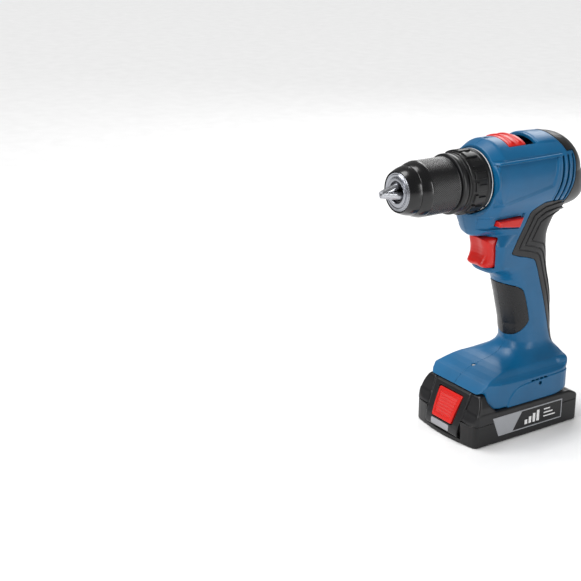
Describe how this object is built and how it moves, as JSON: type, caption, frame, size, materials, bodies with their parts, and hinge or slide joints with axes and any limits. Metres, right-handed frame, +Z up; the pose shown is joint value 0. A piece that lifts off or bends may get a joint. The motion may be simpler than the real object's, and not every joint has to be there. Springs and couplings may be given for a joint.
{
  "type": "cordless drill driver",
  "caption": "Pistol-grip cordless drill driver with a keyless three-jaw chuck, torque collar, speed selector, trigger and slide-on battery.",
  "frame": {"origin": "centre of the battery's flat bottom face, where the drill stands", "axes": "+Z up, the chuck points along -Y, +X is the drill's left side"},
  "size_m": [0.076, 0.1929, 0.2467],
  "materials": {
    "blue_plastic": "satin",
    "black_plastic": "satin",
    "rubber": "soft matte",
    "dark_steel": "black oxide",
    "steel": "machined",
    "gear_steel": "sintered",
    "laminations": "satin",
    "copper": "enamelled",
    "circuit_board": "solder mask",
    "collar_plastic": "satin",
    "spring_steel": "drawn",
    "bright_steel": "bright",
    "gloss_black": "gloss",
    "jaw_steel": "ground",
    "red_plastic": "satin gloss",
    "clear_lens": "clear",
    "battery_black": "fine grain",
    "battery_grey": "fine grain",
    "cell_wrap": "shrink wrap",
    "cell_frame_plastic": "moulded",
    "label_film": "printed film"
  },
  "bodies": {
    "housing": {"housing_left": "blue_plastic", "housing_right": "blue_plastic", "rear_cap": "black_plastic", "rear_grip_left": "rubber", "rear_grip_right": "rubber", "front_grip_left": "rubber", "front_grip_right": "rubber", "housing_screws": "dark_steel", "cap_screws": "steel", "gearbox_case": "black_plastic", "ring_gear_1": "gear_steel", "motor_plate": "black_plastic", "gearbox_screws": "steel", "spindle_bearing": "steel", "motor_stator": "laminations", "stator_coils": "copper", "front_bearing": "steel", "rear_bearing": "steel", "sensor_board": "circuit_board", "clutch_spring": "spring_steel", "trigger_switch": "black_plastic", "work_light": "clear_lens", "control_board": "circuit_board", "terminal_block": "black_plastic"},
    "chuck": {"output_spindle": "steel", "carrier_2": "gear_steel", "chuck_body": "dark_steel", "chuck_nose_ring": "bright_steel", "chuck_rear_ring": "collar_plastic", "chuck_screw": "dark_steel"},
    "sleeve": {"chuck_sleeve": "gloss_black", "chuck_nut": "gear_steel"},
    "jaw_a": {"jaw_1": "jaw_steel"},
    "jaw_b": {"jaw_2": "jaw_steel"},
    "jaw_c": {"jaw_3": "jaw_steel"},
    "planet_2a": {"planet_2a": "gear_steel"},
    "planet_2b": {"planet_2b": "gear_steel"},
    "planet_2c": {"planet_2c": "gear_steel"},
    "carrier_1": {"carrier_1": "gear_steel"},
    "planet_1a": {"planet_1a": "gear_steel"},
    "planet_1b": {"planet_1b": "gear_steel"},
    "planet_1c": {"planet_1c": "gear_steel"},
    "rotor": {"motor_rotor": "laminations", "rotor_shaft": "steel", "motor_fan": "black_plastic"},
    "torque_collar": {"torque_collar": "collar_plastic"},
    "clutch_nut": {"clutch_nut": "gear_steel"},
    "speed_selector": {"speed_selector": "red_plastic"},
    "shift_ring": {"ring_gear_2": "gear_steel"},
    "trigger": {"trigger": "red_plastic"},
    "direction_lever": {"direction_lever": "red_plastic"},
    "battery": {"battery_tray": "battery_black", "battery_cover": "battery_grey", "latch_spring": "spring_steel", "battery_cells": "cell_wrap", "cell_frame": "cell_frame_plastic", "battery_board": "circuit_board", "battery_labels": "label_film", "battery_screws": "dark_steel"},
    "latch_button": {"latch_button": "red_plastic"}
  },
  "joints": [
    {"name": "spindle_spin", "type": "hinge", "parent": "housing", "child": "chuck", "pos_m": [0, 0, 0.2135], "axis": [0, 1, 0], "continuous": true},
    {"name": "sleeve_turn", "type": "hinge", "parent": "chuck", "child": "sleeve", "pos_m": [0, 0, 0.2135], "axis": [0, 1, 0], "range_deg": [0, 2160]},
    {"name": "jaw_slide_a", "type": "slide", "parent": "chuck", "child": "jaw_a", "axis": [0.2532, 0.9563, -0.1462], "range_m": [0, 0.0196]},
    {"name": "jaw_slide_b", "type": "slide", "parent": "chuck", "child": "jaw_b", "axis": [-0.2532, 0.9563, -0.1462], "range_m": [0, 0.0196]},
    {"name": "jaw_slide_c", "type": "slide", "parent": "chuck", "child": "jaw_c", "axis": [0, 0.9563, 0.2924], "range_m": [0, 0.0196]},
    {"name": "planet_2a_spin", "type": "hinge", "parent": "chuck", "child": "planet_2a", "pos_m": [0.0108, 0, 0.2135], "axis": [0, 1, 0], "continuous": true},
    {"name": "planet_2b_spin", "type": "hinge", "parent": "chuck", "child": "planet_2b", "pos_m": [-0.0054, 0, 0.20415], "axis": [0, 1, 0], "continuous": true},
    {"name": "planet_2c_spin", "type": "hinge", "parent": "chuck", "child": "planet_2c", "pos_m": [-0.0054, 0, 0.22285], "axis": [0, 1, 0], "continuous": true},
    {"name": "planet_1a_spin", "type": "hinge", "parent": "carrier_1", "child": "planet_1a", "pos_m": [0.0108, 0, 0.2135], "axis": [0, 1, 0], "continuous": true},
    {"name": "planet_1b_spin", "type": "hinge", "parent": "carrier_1", "child": "planet_1b", "pos_m": [-0.0054, 0, 0.20415], "axis": [0, 1, 0], "continuous": true},
    {"name": "planet_1c_spin", "type": "hinge", "parent": "carrier_1", "child": "planet_1c", "pos_m": [-0.0054, 0, 0.22285], "axis": [0, 1, 0], "continuous": true},
    {"name": "carrier_1_spin", "type": "hinge", "parent": "housing", "child": "carrier_1", "pos_m": [0, 0, 0.2135], "axis": [0, 1, 0], "continuous": true},
    {"name": "rotor_spin", "type": "hinge", "parent": "housing", "child": "rotor", "pos_m": [0, 0, 0.2135], "axis": [0, 1, 0], "continuous": true},
    {"name": "collar_turn", "type": "hinge", "parent": "housing", "child": "torque_collar", "pos_m": [0, 0, 0.2135], "axis": [0, 1, 0], "range_deg": [0, 300]},
    {"name": "clutch_nut_slide", "type": "slide", "parent": "housing", "child": "clutch_nut", "axis": [0, 1, 0], "range_m": [0, 0.0036], "deforming": ["clutch_spring"]},
    {"name": "selector_slide", "type": "slide", "parent": "housing", "child": "speed_selector", "axis": [0, 1, 0], "range_m": [0, 0.01]},
    {"name": "shift_ring_slide", "type": "slide", "parent": "housing", "child": "shift_ring", "axis": [0, 1, 0], "range_m": [0, 0.0036]},
    {"name": "trigger_pull", "type": "slide", "parent": "housing", "child": "trigger", "axis": [0, 1, 0], "range_m": [0, 0.0065], "stiffness_N_per_m": 900, "springref_m": -0.004},
    {"name": "direction_push", "type": "slide", "parent": "housing", "child": "direction_lever", "axis": [1, 0, 0], "range_m": [-0.006, 0]},
    {"name": "battery_slide", "type": "slide", "parent": "housing", "child": "battery", "axis": [0, -1, 0], "range_m": [0, 0.09]},
    {"name": "latch_press", "type": "slide", "parent": "battery", "child": "latch_button", "axis": [0, 0.9135, -0.4067], "range_m": [0, 0.003], "stiffness_N_per_m": 800, "springref_m": -0.004, "deforming": ["latch_spring"]}
  ],
  "couplings": [
    {"joint": "jaw_slide_a", "follows": "sleeve_turn", "m_per_rad": 0.00051714},
    {"joint": "jaw_slide_b", "follows": "sleeve_turn", "m_per_rad": 0.00051714},
    {"joint": "jaw_slide_c", "follows": "sleeve_turn", "m_per_rad": 0.00051714},
    {"joint": "planet_2a_spin", "follows": "spindle_spin", "ratio": -2.8},
    {"joint": "planet_2b_spin", "follows": "spindle_spin", "ratio": -2.8},
    {"joint": "planet_2c_spin", "follows": "spindle_spin", "ratio": -2.8},
    {"joint": "planet_1a_spin", "follows": "spindle_spin", "ratio": -12.6},
    {"joint": "planet_1b_spin", "follows": "spindle_spin", "ratio": -12.6},
    {"joint": "planet_1c_spin", "follows": "spindle_spin", "ratio": -12.6},
    {"joint": "carrier_1_spin", "follows": "spindle_spin", "ratio": 4.5},
    {"joint": "rotor_spin", "follows": "spindle_spin", "ratio": 20.25},
    {"joint": "clutch_nut_slide", "follows": "collar_turn", "m_per_rad": 0.00066845},
    {"joint": "shift_ring_slide", "follows": "selector_slide", "ratio": 0.35}
  ]
}
